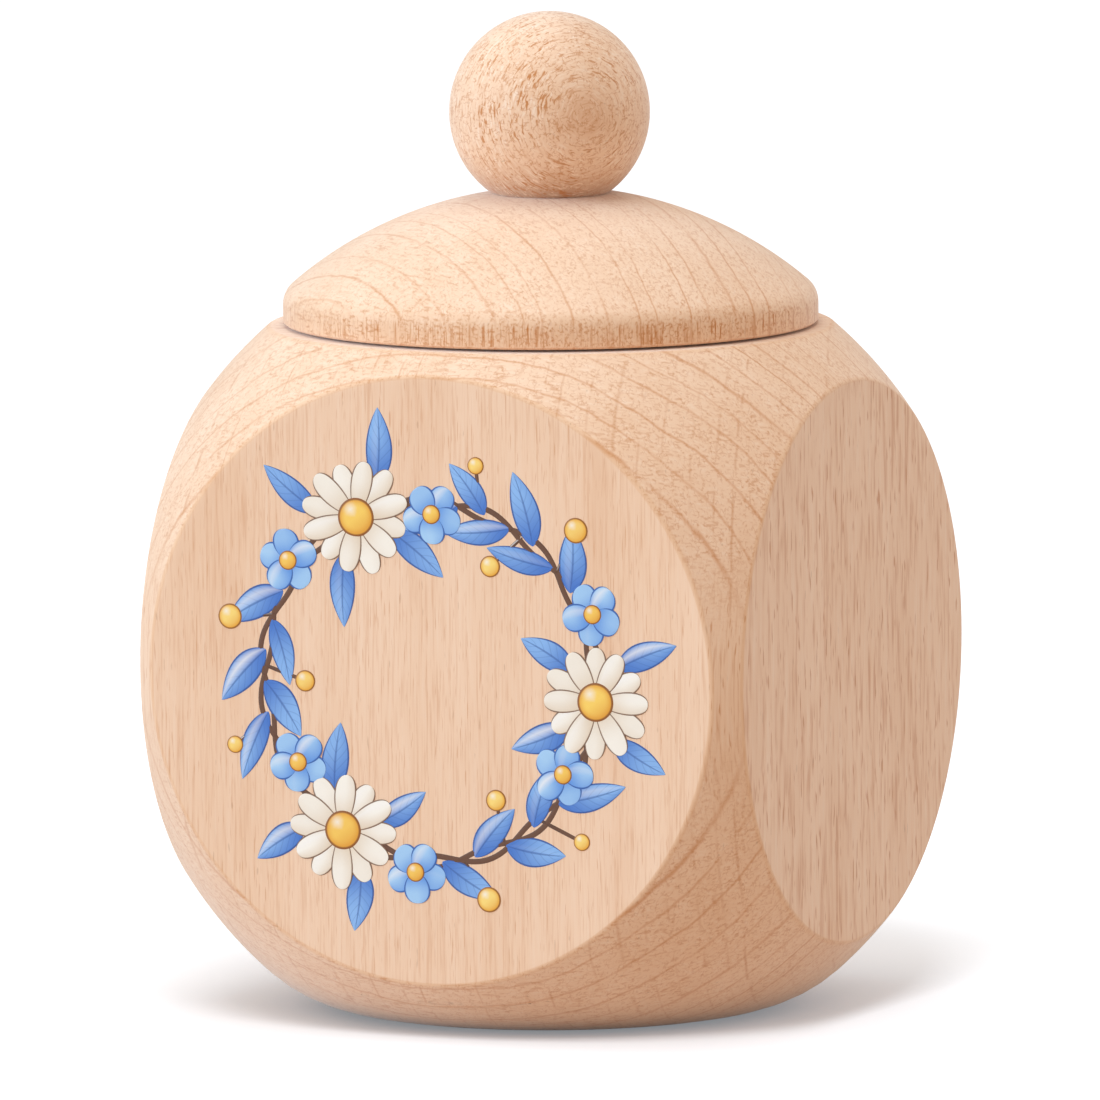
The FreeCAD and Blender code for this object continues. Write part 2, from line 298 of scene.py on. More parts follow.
def growth_lines(tree, log, bent, pith, gaps):
    """Rings, counted by the distance from the pith, rays, counted by the angle round it, and that distance.

    bent is the log with its wandering, and the lines fade and break by places in the straight log.
    """
    x, y, _ = node(tree, "SeparateXYZ", {0: bent})
    out = way_out(tree, x, y)
    years = node(tree, "Math", {0: out, 1: gaps[0]}, operation="DIVIDE")[0]
    ring = thin_lines(tree, years, RING_HALF_WIDTH / gaps[0], RING_WEAKEST)
    turn = node(tree, "Math", {0: y, 1: x}, operation="ARCTAN2")[0]
    reach = max(Vector(pith).to_2d().length, NEAR_PITH_GAPS * gaps[1])
    spokes = node(tree, "Math", {0: turn, 1: reach / gaps[1]}, operation="MULTIPLY")[0]
    ray = thin_lines(tree, spokes, RAY_HALF_WIDTH / gaps[1], RAY_WEAKEST)
    patch = strokes(tree, log, PATCH_SIZES, PATCH_LEVELS)
    ring = node(tree, "Math", {0: ring, 1: patch}, operation="MULTIPLY")[0]
    whole = strokes(tree, log, BREAK_SIZES, BREAK_LEVELS)
    ray = node(tree, "Math", {0: ray, 1: whole}, operation="MULTIPLY")[0]
    return ring, ray, out


# %% Fibres along the grain
# Noise has little contrast at places that are whole numbers, and these sizes keep the flats away from them.
STREAK_SIZES = (0.17, 0.5, 4.5)  # wider on the left and right sides than on front and back
STREAK_DETAIL = 2.0
STREAK_LEVELS = (0.52, 0.74)
PALE_STREAK_LEVELS = (0.46, 0.25)
DASH_SIZES = (0.095, 0.31, 1.9)
DASH_LEVELS = (0.63, 0.75)


def long_fibres(tree, log):
    """Dark streaks where a noise is high, pale ones where it is low, and dark dashes from a finer noise."""
    grey = noise_of(tree, log, STREAK_SIZES, STREAK_DETAIL)[0]
    dark = node(tree, "MapRange", {0: grey, 1: STREAK_LEVELS[0], 2: STREAK_LEVELS[1]})[0]
    pale = node(tree, "MapRange", {0: grey, 1: PALE_STREAK_LEVELS[0], 2: PALE_STREAK_LEVELS[1]})[0]
    return dark, pale, strokes(tree, log, DASH_SIZES, DASH_LEVELS)


# %% Fibres across the grain
HEART_RADIUS = 3.5  # the wood round the pith is darker, and has less felt
HAIR_SIZES = (0.34, 0.34, 0.6)
HAIR_THICKNESS = 0.07
HAIR_SPOT_LEVELS = (0.40, 0.60)
CURL_SIZES = (0.8, 0.8, 0.8)
CURL_REACH = 0.32
FELT_FULL_LEVEL = 0.68
PALE_FELT_LEVELS = (0.47, 0.30)
FELT_PATCH_SIZES = (2.4, 2.4, 2.4)
FELT_PATCH_LEVELS = (0.25, 0.65)
FELT_LEAST = 0.35  # between patches this share of the felt is left
PITH_RADIUS = 0.3  # at the pith itself
PITH_FELT = 0.3  # this share of the felt is left


def hairs(tree, place):
    """Curled hairs: where one noise is within a thickness of its middle, in spots where another is high."""
    curl, spot, _ = node(tree, "SeparateXYZ", {0: noise_of(tree, place, HAIR_SIZES)["Color"]})
    away = node(tree, "Math", {0: curl, 1: NOISE_MIDDLE}, operation="SUBTRACT")[0]
    away = node(tree, "Math", {0: away}, operation="ABSOLUTE")[0]
    near = {0: away, 2: HAIR_THICKNESS, 3: 1.0, 4: 0.0}
    hair = node(tree, "MapRange", near, interpolation_type="SMOOTHSTEP")[0]
    high = {0: spot, 1: HAIR_SPOT_LEVELS[0], 2: HAIR_SPOT_LEVELS[1]}
    spot = node(tree, "MapRange", high, interpolation_type="SMOOTHSTEP")[0]
    return node(tree, "Math", {0: hair, 1: spot}, operation="MULTIPLY")[0]


def felt_strokes(tree, log, width, length, start_level):
    """Cut ends of fibres: short strokes along circles about the grain, a little curled, dark and pale ones.

    Along such a circle the distance from the pith and the height stay as they are. Noise in four dimensions
    that is quick along those two, and slow along x and y, makes strokes that follow the circles.
    """
    x, y, z = node(tree, "SeparateXYZ", {0: moved(tree, log, CURL_SIZES, CURL_REACH)})
    out = way_out(tree, x, y)
    place = {0: node(tree, "CombineXYZ", {0: out, 1: x, 2: y})[0], 1: (1 / width, 1 / length, 1 / length)}
    place = node(tree, "VectorMath", place, operation="MULTIPLY")[0]
    height = node(tree, "Math", {0: z, 1: 1 / width}, operation="MULTIPLY")[0]
    four = {"Vector": place, "W": height, "Scale": 1.0, "Detail": NOISE_DETAIL}
    grey = node(tree, "TexNoise", four, noise_dimensions="4D")[0]
    patch = strokes(tree, log, FELT_PATCH_SIZES, FELT_PATCH_LEVELS)
    patch = node(tree, "MapRange", {0: patch, 3: FELT_LEAST, 4: 1.0})[0]
    clear = node(tree, "MapRange", {0: out, 1: PITH_RADIUS, 2: HEART_RADIUS, 3: PITH_FELT, 4: 1.0})[0]
    patch = node(tree, "Math", {0: patch, 1: clear}, operation="MULTIPLY")[0]
    both = []
    for low, high in ((start_level, FELT_FULL_LEVEL), PALE_FELT_LEVELS):
        stroke = node(tree, "MapRange", {0: grey, 1: low, 2: high}, interpolation_type="SMOOTHSTEP")[0]
        both.append(node(tree, "Math", {0: stroke, 1: patch}, operation="MULTIPLY")[0])
    return both


# %% [markdown]
# ### The finish
#
# The box is bare wood, turned and sanded fine. It is nearly matt, and its loose fibre ends form a nap that
# catches light where the surface turns away: that is what a sheen stands for in a shader. Soft bands and
# clouds of two tones make the ground. The marks are then laid over it one by one. Those that are cuts in
# the wood also make a fine relief. Ambient occlusion finds the narrow place below the knob and darkens the
# wood there: a painted shade.

# %% Beech
# Bare beech, turned and sanded fine: a pale straw colour, nearly matt, with a faint nap that catches light.
BEECH_PALE = "#F9D9BE"
BEECH_BODY = "#F1CCAD"
BEECH_RING = "#CC8442"
BEECH_RAY = "#CA8850"
BEECH_FIBRE = "#C67F41"
# the pores' colour, which also tints the painted shade below the knob
BEECH_PORE_AND_SHADE = "#94602F"
BEECH_LIGHT = "#FDE6D3"
BEECH_EDGE = "#E6B482"
BEECH_IOR = 1.5
BEECH_GLOSS = 0.2  # bare wood mirrors less than its IOR says
BEECH_ROUGHNESS = 0.5
NAP_WEIGHT = 0.55
NAP_ROUGHNESS = 0.5
WANDER_SIZES = (14.0, 14.0, 90.0)  # rings wander over these lengths
SHAKE_SIZES = (1.3, 1.3, 4.0)  # and shake a little over these
SHAKE_REACH = 0.14
BAND_SIZES = (3.0, 3.0, 80.0)
CLOUD_SIZES = (9.0, 9.0, 18.0)
TONE_LEVELS = (0.25, 0.75)
CLOUD_SHARE = 0.5  # of the tone; bands are the rest
PORE_SIZES = (0.3, 0.3, 1.6)
PORE_LEVELS = (0.72, 0.80)
LONG_GRAIN_LEVELS = (0.60, 0.95)  # long_grain at which streaks begin to show, and at which felt is gone
LINES_LEFT = 0.15  # share of rings and rays that is left along the grain
HEART_SHARE = 0.28
EDGE_SHARE = 0.3
PORE_SHARE = 0.25
STREAK_SHARE = 0.6
PALE_STREAK_SHARE = 0.45
DASH_SHARE = 0.8
HAIR_SHARE = 0.2  # hairs show by this much
HAIR_FELT_SHARE = 0.4  # and by this share of the felt
RELIEF = 0.012  # depth of the marks that are cuts
RELIEF_STRENGTH = 0.35
PAINTED_SHADE_REACH = 4.0  # painted shade lies where other wood is nearer than this


def lay_over(tree, colour, marks):
    """Lays marks over a colour and returns the colour and the amounts of the marks.

    A mark is (mark, where, share, tint). The first three multiplied are its amount, which mixes in its tint.
    """
    amounts = []
    for mark, where, share, tint in marks:
        amount = node(tree, "Math", {0: mark, 1: where}, operation="MULTIPLY")[0]
        amounts.append(node(tree, "Math", {0: amount, 1: share}, operation="MULTIPLY")[0])
        colour = node(tree, "Mix", {0: amounts[-1], 6: colour, 7: linear(tint)}, data_type="RGBA")[2]
    return colour, amounts


def beech(name, grain, pith, gaps, felt_sizes, wander=0.8, rings=0.65, rays=0.4, fibres=0.6, felt=0.4,
          side_felt=0.0, painted_shade=0.0):
    """A cut of beech. grain is the direction of the log, and pith a point on its middle, in millimetres.

    gaps are between rings and between rays. felt_sizes are the width and length of a cut fibre, and the
    noise level at which it starts. wander says how far rings go astray. The others say how strongly each
    mark colours the wood, where side_felt is the share of the felt that surfaces along the grain have too.
    The last of them paints shade: it darkens the wood where other wood is near.
    """
    material = bpy.data.materials.new(name)
    material.use_nodes = True
    tree = material.node_tree
    tree.nodes.clear()
    log = log_place(tree, grain, pith)

    # how the surface cuts the log, and where that lets each kind of mark show
    along = node(tree, "Attribute", attribute_name="long_grain")["Fac"]
    along = {0: along, 1: LONG_GRAIN_LEVELS[0], 2: LONG_GRAIN_LEVELS[1]}
    along = node(tree, "MapRange", along, interpolation_type="SMOOTHSTEP")[0]
    quarter = node(tree, "Attribute", attribute_name="quarter")["Fac"]
    along_streak = node(tree, "Math", {0: quarter, 1: along, 2: along}, operation="MULTIPLY_ADD")[0]
    across_line = node(tree, "MapRange", {0: along, 3: 1.0, 4: LINES_LEFT})[0]
    across_felt = node(tree, "MapRange", {0: along, 3: 1.0, 4: side_felt})[0]

    # the marks
    bent = moved(tree, moved(tree, log, WANDER_SIZES, wander), SHAKE_SIZES, SHAKE_REACH)
    ring, ray, out = growth_lines(tree, log, bent, pith, gaps)
    heart = {0: out, 2: HEART_RADIUS, 3: 1.0, 4: 0.0}
    heart = node(tree, "MapRange", heart, interpolation_type="SMOOTHSTEP")[0]
    streak, pale_streak, dash = long_fibres(tree, log)
    hair = hairs(tree, log)
    dark_felt, pale_felt = felt_strokes(tree, log, *felt_sizes)
    pore = strokes(tree, log, PORE_SIZES, PORE_LEVELS)
    # painted shade: ambient occlusion darkens the wood where other wood is near
    shade_mask = node(tree, "AmbientOcclusion", {"Distance": PAINTED_SHADE_REACH * MM})["AO"]
    shade_mask = node(tree, "MapRange", {0: shade_mask, 3: 1.0, 4: 0.0})[0]
    edge = node(tree, "Attribute", attribute_name="edge")["Fac"]

    # the ground: soft bands along the grain and wider clouds
    band = strokes(tree, bent, BAND_SIZES, TONE_LEVELS)
    cloud = strokes(tree, bent, CLOUD_SIZES, TONE_LEVELS)
    tone = node(tree, "Mix", {0: CLOUD_SHARE, 2: band, 3: cloud})[0]
    colour = node(tree, "Mix", {0: tone, 6: linear(BEECH_BODY), 7: linear(BEECH_PALE)}, data_type="RGBA")[2]

    # first the marks that only colour the wood, painted shade among them, then those that are cuts in it
    colour, _ = lay_over(tree, colour, (
        # painted shade in the pores' colour, where other wood is near
        (shade_mask, 1.0, painted_shade, BEECH_PORE_AND_SHADE),
        (heart, 1.0, HEART_SHARE, BEECH_RING),
        (pale_felt, across_felt, felt, BEECH_LIGHT),
        (pale_streak, along_streak, PALE_STREAK_SHARE * fibres, BEECH_LIGHT),
        (edge, 1.0, EDGE_SHARE, BEECH_EDGE),
    ))
    colour, cuts = lay_over(tree, colour, (
        (ring, across_line, rings, BEECH_RING),
        (ray, across_line, rays, BEECH_RAY),
        (streak, along_streak, STREAK_SHARE * fibres, BEECH_FIBRE),
        (dash, along_streak, DASH_SHARE * fibres, BEECH_FIBRE),
        (hair, across_felt, HAIR_SHARE + HAIR_FELT_SHARE * felt, BEECH_FIBRE),
        (dark_felt, across_felt, felt, BEECH_FIBRE),
        (pore, 1.0, PORE_SHARE, BEECH_PORE_AND_SHADE),
    ))
    depth = cuts[0]
    for cut in cuts[1:]:
        depth = node(tree, "Math", {0: depth, 1: cut}, operation="MAXIMUM")[0]
    relief = {"Height": depth, "Strength": RELIEF_STRENGTH, "Distance": RELIEF * MM}
    surface = {
        "Base Color": colour,
        "Roughness": BEECH_ROUGHNESS,
        "IOR": BEECH_IOR,
        "Specular IOR Level": BEECH_GLOSS,
        "Sheen Weight": NAP_WEIGHT,
        "Sheen Roughness": NAP_ROUGHNESS,
        "Normal": node(tree, "Bump", relief, invert=True)[0],
    }
    node(tree, "OutputMaterial", {"Surface": node(tree, "BsdfPrincipled", surface)[0]})
    print(name, len(tree.nodes), "nodes")
    return material


# %% Three cuts of beech
UPRIGHT = (0, 0, 1)
BOX_PITH = (-1, 62, 0)
BOX_GAPS = (1.75, 1.4)  # between rings and between rays
LID_PITH = (-92, -122, 0)
LID_GAPS = (2.1, 2.2)
KNOB_GRAIN = (0.7, -0.7, 0.07)
KNOB_PITH = (0, 0, 67.15)  # near the middle of the ball
KNOB_GAPS = (0.9, 1.6)
FINE_FELT = (0.21, 1.2, 0.53)  # width and length of a cut fibre, and the noise level at which it starts
KNOB_FELT = (0.15, 0.9, 0.55)

beech_of_box = beech("beech_box", UPRIGHT, BOX_PITH, BOX_GAPS, FINE_FELT, rays=0.5, fibres=0.5)
beech_of_lid = beech("beech_lid", UPRIGHT, LID_PITH, LID_GAPS, FINE_FELT, rays=0.25, fibres=0.8,
                     side_felt=1.5)
# the knob gets painted shade where the lid is near, below it
beech_of_knob = beech("beech_knob", KNOB_GRAIN, KNOB_PITH, KNOB_GAPS, KNOB_FELT, rings=0.15, rays=0, felt=0.9,
                      painted_shade=0.6)

# %% [markdown]
# ## The box: a ball with six flats
#
# The box starts as a ball, and each flat cuts off a cap. Boolean cuts through a sphere would do it, but
# they leave slivers along every edge. A round flat deserves round rows of faces, so every flat gets a grid
# of rings about its own middle: rings on the flat, rings over the sanded edge, and rings on the ball.
#
# The grids end where the neighbours' grids end. That line comes from the box that the six flats would make
# without the ball: its edges, seen from the middle of the ball, mark the borders, and both neighbours share
# their points.

# %% Box body
BALL_RADIUS = 32.2
BALL_CENTRE_HEIGHT = 26.95
EDGE_ROUND = 0.5
BASE_ROUND = 11.5
HOLLOW_RADIUS = 15.0
HOLLOW_DEPTH = 38.0
MOUTH_CHAMFER = 0.6
BIT_POINT_RADIUS = 1.6
BIT_POINT_DEPTH = 1.2
POINTS_ALONG_EDGE = 44
LEVEL_SHARES = np.array([0, 0.4, 0.8, 0.985])  # rings on a flat
EDGE_STEPS = 7
BALL_STEPS = 9
BALL_CROWDING = 1.5  # over 1, the first rings on the ball are close to the edge
BALL_SHARES = np.linspace(0, 1, BALL_STEPS + 1)[1:] ** BALL_CROWDING

ball_centre = np.array([0, 0, BALL_CENTRE_HEIGHT])
flats_low, flats_high = (np.array(corner) / MM - ball_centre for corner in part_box("box_body"))
TOP_HEIGHT = flats_high[2] + BALL_CENTRE_HEIGHT


def border(low, high):
    """Points round a rectangle from corner low to corner high, evenly along each side, counterclockwise."""
    share = np.linspace(0, 1, POINTS_ALONG_EDGE, endpoint=False)
    corners = np.array([low, (high[0], low[1]), high, (low[0], high[1])])
    sides = zip(corners, np.roll(corners, -1, axis=0))
    return np.concatenate([start + (end - start) * share[:, None] for start, end in sides])


def flat_section(distance, edge_round):
    """The flat and its rounded edge, as (radius, height): level out to the edge, then an arc on to the ball.

    The edge's arc touches the flat and the ball from inside, so its middle is edge_round in from both.
    """
    height = distance - edge_round
    radius = np.sqrt((BALL_RADIUS - edge_round) ** 2 - height ** 2)
    level = np.column_stack([radius * LEVEL_SHARES, np.full(len(LEVEL_SHARES), distance)])
    edge = arc((radius, height), edge_round, np.pi / 2, np.arctan2(height, radius), EDGE_STEPS)
    return np.concatenate([level, edge])


def flat_rings(axis, side, edge_round=EDGE_ROUND, inner=None):
    """All rings of one flat, from its middle to the border with its neighbours.

    On the ball, rings lean from the edge to the border by shares of the angle between them, seen from the
    middle of the ball. inner replaces the level rings but the last.
    """
    first, second = (axis + 1) % 3, (axis + 2) % 3
    distance = (flats_high if side > 0 else -flats_low)[axis]
    section = flat_section(distance, edge_round)
    if inner is not None:
        section = np.concatenate([inner, section[len(LEVEL_SHARES) - 1:]])
    edge = border(flats_low[[first, second]], flats_high[[first, second]])
    reach = np.linalg.norm(edge, axis=1)
    outward = edge / reach[:, None]
    radius, height = (np.repeat(values[:, None], len(edge), axis=1) for values in section.T)
    first_lean, last_lean = np.arctan2(*section[-1]), np.arctan2(reach, distance)
    lean = first_lean + (last_lean - first_lean) * BALL_SHARES[:, None]
    radius = np.concatenate([radius, BALL_RADIUS * np.sin(lean)])
    height = np.concatenate([height, BALL_RADIUS * np.cos(lean)])
    rings = np.zeros((*radius.shape, 3))
    rings[..., [first, second]] = radius[..., None] * outward
    rings[..., axis] = side * height
    return rings + ball_centre


floor = flats_high[2] - HOLLOW_DEPTH
mouth = flats_high[2]
hollow_section = np.array([
    (0, floor - BIT_POINT_DEPTH),
    (BIT_POINT_RADIUS, floor),
    (HOLLOW_RADIUS / 2, floor),
    (HOLLOW_RADIUS, floor),
    (HOLLOW_RADIUS, (floor + mouth) / 2),
    (HOLLOW_RADIUS, mouth - MOUTH_CHAMFER),
    (HOLLOW_RADIUS + MOUTH_CHAMFER, mouth),
])
body_grids = [flat_rings(axis, side) for axis, side in ((0, -1), (0, 1), (1, -1), (1, 1))]
body_grids.append(flat_rings(2, 1, inner=hollow_section))
body_grids.append(flat_rings(2, -1, edge_round=BASE_ROUND))

# all sanded edges but the base's are a little darker: they are marked from their second ring to their last
edge_marks = [np.zeros(grid.shape[:2]) for grid in body_grids]
for mark in edge_marks[:-1]:
    mark[-BALL_STEPS - EDGE_STEPS + 1:-BALL_STEPS] = 1
edge = np.concatenate([mark.ravel() for mark in edge_marks])
box_body = make_piece("box_body_wood", body_grids, beech_of_box, {"edge": edge})
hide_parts("box_body")
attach(box_body, "box")
mark_cut(box_body, BOX_PITH)

# %% [markdown]
# ## The lid
#
# The lid could be put together from cylinders and a cap. But it is one turning, so one section tells all of
# it, with no seams to hide: plug, rim, dome, the flat where the knob stands, and the blind hole for the
# dowel. The dome is a cap of a ball whose middle is on the axis. Where it meets the rim, an arc rounds the
# corner: it touches the rim's cylinder and the dome from inside.

# %% Lid
LID_RADIUS = 20.0
RIM_HEIGHT = 2.45
RIM_ROUND = 1.9
RIM_CHAMFER = 0.15
SHOULDER_RADIUS = 18.0
SHADOW_GAP = 0.2
PLUG_RADIUS = 14.8
PLUG_CHAMFER = 0.8
KNOB_SEAT_RADIUS = 4.4
HOLE_RADIUS = 3.05
LID_HOLE_DEPTH = 9.6
DRILL_POINT_ANGLE = radians(59)  # half of a drill's usual 118 degrees
DRILL_POINT_LENGTH = HOLE_RADIUS / np.tan(DRILL_POINT_ANGLE)
AROUND_LID = 224
CORNER_STEPS = 9
DOME_STEPS = 26
RIM_FADE = 1.5  # the tint of the rim fades over this height

lid_foot, lid_top = (corner.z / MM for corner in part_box("lid"))
rim_foot = TOP_HEIGHT + SHADOW_GAP
rim_top = TOP_HEIGHT + RIM_HEIGHT

# the middle of the dome is as far from the top of the rim as from the edge of the knob's seat
squares_apart = LID_RADIUS ** 2 - KNOB_SEAT_RADIUS ** 2
dome_centre = (lid_top ** 2 - rim_top ** 2 - squares_apart) / (2 * (lid_top - rim_top))
dome_radius = np.hypot(LID_RADIUS, rim_top - dome_centre)
corner_radius = LID_RADIUS - RIM_ROUND
corner_height = dome_centre + np.sqrt((dome_radius - RIM_ROUND) ** 2 - corner_radius ** 2)
corner_lean = np.arctan2(corner_height - dome_centre, corner_radius)
seat_lean = np.arctan2(lid_top - dome_centre, KNOB_SEAT_RADIUS)
hole_floor = lid_top - LID_HOLE_DEPTH
lid_section = np.concatenate([
    [(0, lid_foot), (PLUG_RADIUS - PLUG_CHAMFER, lid_foot), (PLUG_RADIUS, lid_foot + PLUG_CHAMFER)],
    [(PLUG_RADIUS, TOP_HEIGHT), (SHOULDER_RADIUS, TOP_HEIGHT), (SHOULDER_RADIUS, rim_foot)],
    [(LID_RADIUS - RIM_CHAMFER, rim_foot), (LID_RADIUS, rim_foot + RIM_CHAMFER)],
    [(LID_RADIUS, rim_foot + 2 * RIM_CHAMFER)],
    arc((corner_radius, corner_height), RIM_ROUND, 0, corner_lean, CORNER_STEPS),
    arc((0, dome_centre), dome_radius, corner_lean, seat_lean, DOME_STEPS)[1:],
    [(HOLE_RADIUS, lid_top), (HOLE_RADIUS, hole_floor), (0, hole_floor - DRILL_POINT_LENGTH)],
])
lid_rings = turned(lid_section, AROUND_LID)
on_rim = lid_section[:, 0] > corner_radius
rim_tint = on_rim * np.interp(lid_section[:, 1], [corner_height, corner_height + RIM_FADE], [1, 0])
lid_edge = np.repeat(rim_tint, AROUND_LID)
lid = make_piece("lid_wood", [lid_rings], beech_of_lid, {"edge": lid_edge})
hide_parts("lid")
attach(lid, "lid")
mark_cut(lid, LID_PITH)

# %% [markdown]
# ## The knob
#
# The knob is a stock ball with one flat, where it stands on the lid, and a blind hole for the dowel. Like
# the lid it is turned from one section, so that hole, flat and ball are one closed surface.

# %% Knob
KNOB_RADIUS = 7.5
KNOB_EDGE_ROUND = 0.25
KNOB_HOLE_DEPTH = 7.6
AROUND_KNOB = 144
KNOB_EDGE_STEPS = 5
KNOB_STEPS = 48

knob_foot, knob_top = (corner.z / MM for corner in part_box("knob_ball"))
knob_centre = knob_top - KNOB_RADIUS
edge_height = knob_foot + KNOB_EDGE_ROUND
edge_radius = np.sqrt((KNOB_RADIUS - KNOB_EDGE_ROUND) ** 2 - (edge_height - knob_centre) ** 2)
edge_lean = np.arctan2(edge_height - knob_centre, edge_radius)
knob_hole_floor = knob_foot + KNOB_HOLE_DEPTH
knob_section = np.concatenate([
    [(0, knob_hole_floor + DRILL_POINT_LENGTH), (HOLE_RADIUS, knob_hole_floor), (HOLE_RADIUS, knob_foot)],
    arc((edge_radius, edge_height), KNOB_EDGE_ROUND, -np.pi / 2, edge_lean, KNOB_EDGE_STEPS),
    arc((0, knob_centre), KNOB_RADIUS, edge_lean, np.pi / 2, KNOB_STEPS)[1:],
])
knob = make_piece("knob_wood", [turned(knob_section, AROUND_KNOB)], beech_of_knob)
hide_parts("knob_ball")
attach(knob, "lid")

# %% [markdown]
# ## The dowel
#
# The dowel is out of sight for good, glued into lid and knob. Its CAD mesh is right, so it only gets its
# wood.

# %% Dowel
DOWEL_PITH = (6, 20, 0)
DOWEL_GAPS = (1.4, 1.6)

beech_of_dowel = beech("beech_dowel", UPRIGHT, DOWEL_PITH, DOWEL_GAPS, FINE_FELT)
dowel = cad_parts["knob_dowel"]
dowel.data.materials.clear()
dowel.data.materials.append(beech_of_dowel)

# %% [markdown]
# ## The printed wreath
#
# The front face carries a print in blue, gold, cream and brown: a wreath of daisies, small five-petalled
# flowers, leaves and berries on a vine. An image would be only as sharp as its pixels. So every leaf, petal
# and berry is a film of ink of its own, thin as a coat of varnish and a little fuller in the middle, as ink
# is when it has cured.
#
# All films are one kind of surface. An outline shrinks on to a spine, which is the rib of a leaf or the
# middle of a berry. The share of the way from spine to outline is kept on the points, and the ink's colour
# follows it: that gives each film its soft shading and its fine dark edge.

# %% Ink films
INK_SUNK = 0.02  # the back of a film lies this deep in the wood
FILM_STEPS = 7
OUTLINE_POINTS = 48
FACE_PLACE = flats_low[1]
PRINTED_LIGHT = np.array([-0.6, 0.8])  # the drawing is shaded as if lit from the upper left
GLEAM_SHARE = 0.5  # the gleam's middle is this far out, as a share of the way to the outline
GLEAM_REACH = 0.42


def film(outline, spine, fullness, along, tint, level, swell):
    """Rings of one film, from its spine out to its outline, down its edge and back under it.

    The share of the way out goes as a sine and the height over the edge as a cosine, so the film is a
    pillow. fullness takes the height down to nothing where a film tapers to a point. lit says how far a
    point lies towards the printed light, and gleam falls off with the distance from a spot on that side.
    """
    lean = np.linspace(0, np.pi / 2, FILM_STEPS)
    share = np.append(np.sin(lean), [1, 0])[:, None]
    top = level + swell * np.cos(lean)[:, None] * fullness
    under = np.full((2, len(outline)), -INK_SUNK)
    place = spine + share[..., None] * (outline - spine)
    rise = np.concatenate([top, under])
    grid = np.stack([place[..., 0], FACE_PLACE - rise, BALL_CENTRE_HEIGHT + place[..., 1]], axis=-1)
    outward = outline - spine
    outward = outward / np.maximum(np.linalg.norm(outward, axis=1, keepdims=True), SAME_POINT)
    spot = share[..., None] * outward
    gleam = 1 - np.linalg.norm(spot - GLEAM_SHARE * PRINTED_LIGHT, axis=-1) / GLEAM_REACH
    marks = {
        "rim": np.append(np.sin(lean), [1, 1])[:, None],
        "along": along,
        "tint": tint,
        "lit": spot @ PRINTED_LIGHT,
        "gleam": np.clip(gleam, 0, 1) * fullness,
    }
    return grid, {key: np.broadcast_to(value, rise.shape) for key, value in marks.items()}


def on_face(turn, radius):
    """A place on the face, by its angle from the right and its distance from the middle."""
    return radius * np.array([np.cos(turn), np.sin(turn)])


def blade(base, turn, length, width, form, swing, **ink_marks):
    """The film of a leaf or petal that grows from base in the direction turn.

    With s from 0 at the base to 1 at the tip, the half width goes as s to one power times 1 - s to another,
    and the rib swings aside by swing times s squared.
    """
    phase = np.linspace(0, 2 * np.pi, OUTLINE_POINTS, endpoint=False)
    s = (1 - np.cos(phase)) / 2
    half = s ** form[0] * (1 - s) ** form[1]
    half /= half.max()
    forward, aside = on_face(turn, 1), on_face(turn + np.pi / 2, 1)
    spine = base + length * s[:, None] * forward + swing * (s ** 2)[:, None] * aside
    outline = spine + (np.sign(np.sin(phase)) * half * width / 2)[:, None] * aside
    return film(outline, spine, np.sqrt(half), s, **ink_marks)


def disc(middle, radius, **ink_marks):
    """A round film: its colour goes from the middle to the edge as one minus the share squared."""
    phase = np.linspace(0, 2 * np.pi, OUTLINE_POINTS, endpoint=False)
    outline = middle + radius * np.column_stack([np.cos(phase), np.sin(phase)])
    lean = np.linspace(0, np.pi / 2, FILM_STEPS)
    fade = np.append(1 - np.sin(lean) ** 2, [0, 0])[:, None]
    return film(outline, np.broadcast_to(middle, outline.shape), np.ones(OUTLINE_POINTS), fade, **ink_marks)


# %% The vine
WREATH_RADIUS = 13.4
VINE_LEVEL = 0.005  # a level is a height over the wood
VINE_WIDTH = 0.42
VINE_SWAY = 0.45
VINE_WAVES = 9
VINE_STEPS = 240
VINE_POINTS = 12
VINE_MARKS = {"along": 0.5, "tint": 0.5, "lit": 0.0, "gleam": 0.0}
INK_SWELL = 0.012  # a film rises by this from its edge to its middle

films = {key: [] for key in ("leaf", "cream_petal", "blue_petal", "eye", "berry", "vine")}


def strand(sway, waves):
    """One strand of the vine: an oval section carried round the wreath, on a radius that sways as a sine."""
    turn = np.linspace(0, 2 * np.pi, VINE_STEPS + 1)[:, None]
    phase = np.linspace(0, 2 * np.pi, VINE_POINTS, endpoint=False)
    radius = WREATH_RADIUS + sway * np.sin(waves * turn) + VINE_WIDTH / 2 * np.cos(phase)
    rise = np.where(np.sin(phase) > 0, INK_SWELL, INK_SUNK) * np.sin(phase) + VINE_LEVEL
    high = np.broadcast_to(rise, radius.shape)
    across, upward = radius * np.cos(turn), radius * np.sin(turn)
    grid = np.stack([across, FACE_PLACE - high, BALL_CENTRE_HEIGHT + upward], axis=-1)
    marks = {"rim": np.abs(np.cos(phase)), **VINE_MARKS}
    return grid, {key: np.broadcast_to(value, radius.shape) for key, value in marks.items()}


films["vine"] += [strand(VINE_SWAY, VINE_WAVES), strand(-VINE_SWAY, VINE_WAVES)]
print("vine:", len(films["vine"]), "strands")

